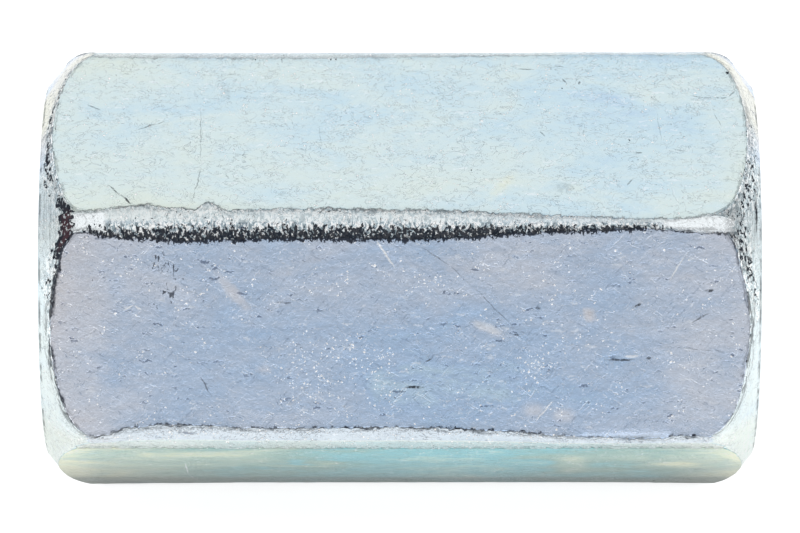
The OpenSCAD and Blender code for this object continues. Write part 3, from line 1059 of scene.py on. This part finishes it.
# Ripples in the metal pushed over beside each crease, 0.1 mm apart, painted as dark lines of shade
ripple_past = add(tree, "ShaderNodeMath", {0: past_border, 1: 2.4}, operation="MULTIPLY")
ripple_past = add(tree, "ShaderNodeMath", {0: ripple_past, 1: past_crease}, operation="MAXIMUM")
ripple_place = add(tree, "ShaderNodeMath", {0: ripple_past, 1: 8.0}, operation="MULTIPLY")
ripple_slow = add(tree, "ShaderNodeVectorMath", {0: mm, 1: (1.3, 1.3, 1.3)}, operation="MULTIPLY")
ripples = add(
    tree,
    "ShaderNodeTexNoise",
    {"Vector": ripple_slow, "W": ripple_place, "Scale": 1.0, "Detail": 3.0, "Roughness": 0.6},
    noise_dimensions="4D",
)
ripples = add(tree, "ShaderNodeMapRange", {0: ripples, 1: 0.47, 2: 0.56, 3: 0.0, 4: 1.0})
ripple_near = add(tree, "ShaderNodeMapRange", {0: ripple_past, 1: 0.20, 2: 0.60, 3: 0.9, 4: 0.0})
ripple_off = add(tree, "ShaderNodeMapRange", {0: ripple_past, 1: -0.16, 2: -0.06, 3: 0.0, 4: 1.0})
ripples = add(tree, "ShaderNodeMath", {0: ripples, 1: ripple_near}, operation="MULTIPLY")
ripples = add(tree, "ShaderNodeMath", {0: ripples, 1: ripple_off}, operation="MULTIPLY")
ripples = add(tree, "ShaderNodeMath", {0: ripples, 1: line_strength}, operation="MULTIPLY")
dark = add(tree, "ShaderNodeMath", {0: dark, 1: ripples}, operation="MAXIMUM")

# A thin broken line round the rim of each end face
rim_x = add(tree, "ShaderNodeSeparateXYZ", {0: mm})
rim_x = add(tree, "ShaderNodeMath", {0: rim_x}, operation="ABSOLUTE")
rim_off = add(tree, "ShaderNodeMath", {0: rim_x, 1: half_length - 0.07}, operation="SUBTRACT")
rim_off = add(tree, "ShaderNodeMath", {0: rim_off}, operation="ABSOLUTE")
rim_line = add(tree, "ShaderNodeMapRange", {0: rim_off, 1: 0.02, 2: 0.06, 3: 1.0, 4: 0.0})
rim_break = add(tree, "ShaderNodeMapRange", {0: crease_break, 1: 0.42, 2: 0.60, 3: 0.0, 4: 0.6})
rim_line = add(tree, "ShaderNodeMath", {0: rim_line, 1: rim_break}, operation="MULTIPLY")
dark = add(tree, "ShaderNodeMath", {0: dark, 1: rim_line}, operation="MAXIMUM")

# Tarnish and painted shade grey the film, and the dark scale, with the painted shade of the creases and
# ripples, is blue-black, with rust where it is thickest
tarnish_and_shade = add(tree, "ShaderNodeMath", {0: attributes["tarnish_and_shade"], 1: 0.9}, operation="MULTIPLY")
colour = add(tree, "ShaderNodeMix", {0: tarnish_and_shade, 1: colour, 2: from_hex("#5a5f5e")}, data_type="RGBA")
dark_shade = add(tree, "ShaderNodeMath", {0: dark, 1: 0.94}, operation="MULTIPLY")
rusty = add(tree, "ShaderNodeMapRange", {0: attributes["grime_and_shade"], 1: 1.2, 2: 2.0, 3: 0.0, 4: 0.7})
rusty = add(tree, "ShaderNodeMath", {0: rusty, 1: rough_line}, operation="MULTIPLY")
dark_colour = add(
    tree, "ShaderNodeMix", {0: rough_line, 1: from_hex("#232a3a"), 2: from_hex("#0b101c")}, data_type="RGBA"
)
dark_colour = add(
    tree, "ShaderNodeMix", {0: rusty, 1: dark_colour, 2: from_hex("#6a3038")}, data_type="RGBA"
)
colour = add(tree, "ShaderNodeMix", {0: dark_shade, 1: colour, 2: dark_colour}, data_type="RGBA")

# Relief, in millimetres: the skin's orange peel, scratches and nicks, the torn edges and the lathe's
# rings
peel = add(tree, "ShaderNodeTexNoise", {"Vector": mm, "Scale": 1.6, "Detail": 5.0, "Roughness": 0.68})
height = add(tree, "ShaderNodeMath", {0: peel, 1: 0.032}, operation="MULTIPLY")
for pattern, depth in (
    (curl_dark, -0.008), (hair_light, -0.010), (glints, 0.014), (nicks, -0.024), (grime_and_shade, -0.02),
):
    groove = add(tree, "ShaderNodeMath", {0: pattern, 1: depth}, operation="MULTIPLY")
    height = add(tree, "ShaderNodeMath", {0: height, 1: groove}, operation="ADD")
torn_depth = add(tree, "ShaderNodeMapRange", {0: past_crease, 1: 0.1, 2: 1.0, 3: 0.07, 4: 0.008})
torn_height = add(tree, "ShaderNodeMath", {0: teeth, 1: torn_depth}, operation="MULTIPLY")
torn_height = add(tree, "ShaderNodeMath", {0: torn_height, 1: worn}, operation="MULTIPLY")
smooth = add(tree, "ShaderNodeMath", {0: 1.0, 1: polish_and_highlight}, operation="SUBTRACT")
torn_height = add(tree, "ShaderNodeMath", {0: torn_height, 1: smooth}, operation="MULTIPLY")
height = add(tree, "ShaderNodeMath", {0: height, 1: torn_height}, operation="ADD")
ring_depth = add(tree, "ShaderNodeMapRange", {0: past_crease, 1: 0.1, 2: 1.0, 3: 0.0, 4: 0.02})
ring_height = add(tree, "ShaderNodeMath", {0: ring_noise, 1: ring_depth}, operation="MULTIPLY")
height = add(tree, "ShaderNodeMath", {0: height, 1: ring_height}, operation="ADD")
relief = add(tree, "ShaderNodeBump", {"Height": height, "Distance": MM, "Strength": 1.0})

# Tumbled zinc is a slightly blurred mirror, and grime is dull. At a low angle the metal's colour pales
# by half
roughness = add(tree, "ShaderNodeMapRange", {0: flecks, 1: 0.3, 2: 0.7, 3: 0.14, 4: 0.24})
roughness = add(tree, "ShaderNodeMix", {0: dark, 1: roughness, 2: 0.6}, data_type="FLOAT")
edge_tint = add(tree, "ShaderNodeMix", {0: 0.5, 1: colour, 2: from_hex("#ffffff")}, data_type="RGBA")
shader = add(
    tree,
    "ShaderNodeBsdfPrincipled",
    {
        "Base Color": colour, "Metallic": 1.0, "Roughness": roughness, "Specular Tint": edge_tint,
        "Normal": relief,
    },
)
add(tree, "ShaderNodeOutputMaterial", {"Surface": shader})
nut_mesh.materials.append(zinc)


# The floor: a sheet of matt white paper that runs far past the nut, which rests on it. It glows white
# to the camera and in the nut's reflections, but not to diffuse light, so the nut's shadow stays on it.
floor_half_width = 2
floor_mesh = bpy.data.meshes.new("floor")
floor = bmesh.new()
bmesh.ops.create_grid(floor, x_segments=1, y_segments=1, size=floor_half_width)
bmesh.ops.translate(floor, vec=(0, 0, nut_low.z), verts=floor.verts)
floor.to_mesh(floor_mesh)
floor.free()
floor_object = bpy.data.objects.new("floor", floor_mesh)
bpy.context.scene.collection.objects.link(floor_object)
paper = bpy.data.materials.new("white_paper")
paper.use_nodes = True
tree = paper.node_tree
tree.nodes.clear()
light_path = add(tree, "ShaderNodeLightPath")
seen = add(
    tree,
    "ShaderNodeMath",
    {0: light_path.outputs["Is Camera Ray"], 1: light_path.outputs["Is Glossy Ray"]},
    operation="MAXIMUM",
)
seen = add(
    tree, "ShaderNodeMath", {0: seen, 1: light_path.outputs["Is Transmission Ray"]}, operation="MAXIMUM"
)
glow = add(tree, "ShaderNodeMath", {0: seen, 1: 0.70}, operation="MULTIPLY")
white = add(
    tree,
    "ShaderNodeBsdfPrincipled",
    {
        "Base Color": (0.8, 0.8, 0.8, 1),
        "Roughness": 1.0,
        "Specular IOR Level": 0.0,
        "Emission Color": (1, 1, 1, 1),
        "Emission Strength": glow,
    },
)
add(tree, "ShaderNodeOutputMaterial", {"Surface": white})
floor_mesh.materials.append(paper)

# The light: an even grey studio, a large soft box overhead that reaches a little behind the nut, and
# two low cards, in front and behind, that brighten what the lower and the upper edges reflect
world = bpy.data.worlds.new("studio")
bpy.context.scene.world = world
world.use_nodes = True
world.node_tree.nodes["Background"].inputs["Color"].default_value = (0.55, 0.55, 0.55, 1)
world.node_tree.nodes["Background"].inputs["Strength"].default_value = 1.0


def softbox(name, elevation, azimuth, distance, width, height, radiance):
    """A rectangular area lamp that looks at the nut, bright by its radiance in the nut's reflections."""
    lamp = bpy.data.lights.new(name, "AREA")
    lamp.shape = "RECTANGLE"
    lamp.size, lamp.size_y = width, height
    lamp.energy = radiance * math.pi * width * height
    holder = bpy.data.objects.new(name, lamp)
    turn = Matrix.Rotation(math.radians(azimuth), 4, "Z") @ Matrix.Rotation(
        math.radians(90 - elevation), 4, "X"
    )
    holder.matrix_world = turn @ Matrix.Translation((0, 0, distance))
    holder.visible_camera = False
    bpy.context.scene.collection.objects.link(holder)


softbox("overhead_softbox", 95, 0, 0.6, 1.5, 1.71, 0.45)
softbox("front_card", 7, 0, 0.6, 1.5, 0.20, 0.24)
softbox("back_card", 14, 180, 0.6, 1.5, 0.34, 0.35)

# The camera: a long lens from the front, looking down at the nut, with a small shift that centres it
camera_elevation = math.radians(47.85)
camera_distance = 0.2561
camera = bpy.data.cameras.new("camera")
camera.lens = 270
camera.sensor_width = 36
camera_shift_pixels = 3.8
frame_width_pixels = 800
camera.shift_y = camera_shift_pixels / frame_width_pixels
camera_object = bpy.data.objects.new("camera", camera)
camera_turn = Matrix.Rotation(math.pi / 2 - camera_elevation, 4, "X")
camera_object.matrix_world = camera_turn @ Matrix.Translation((0, 0, camera_distance))
bpy.context.scene.collection.objects.link(camera_object)
bpy.context.scene.camera = camera_object
bpy.context.scene.view_settings.view_transform = "Standard"
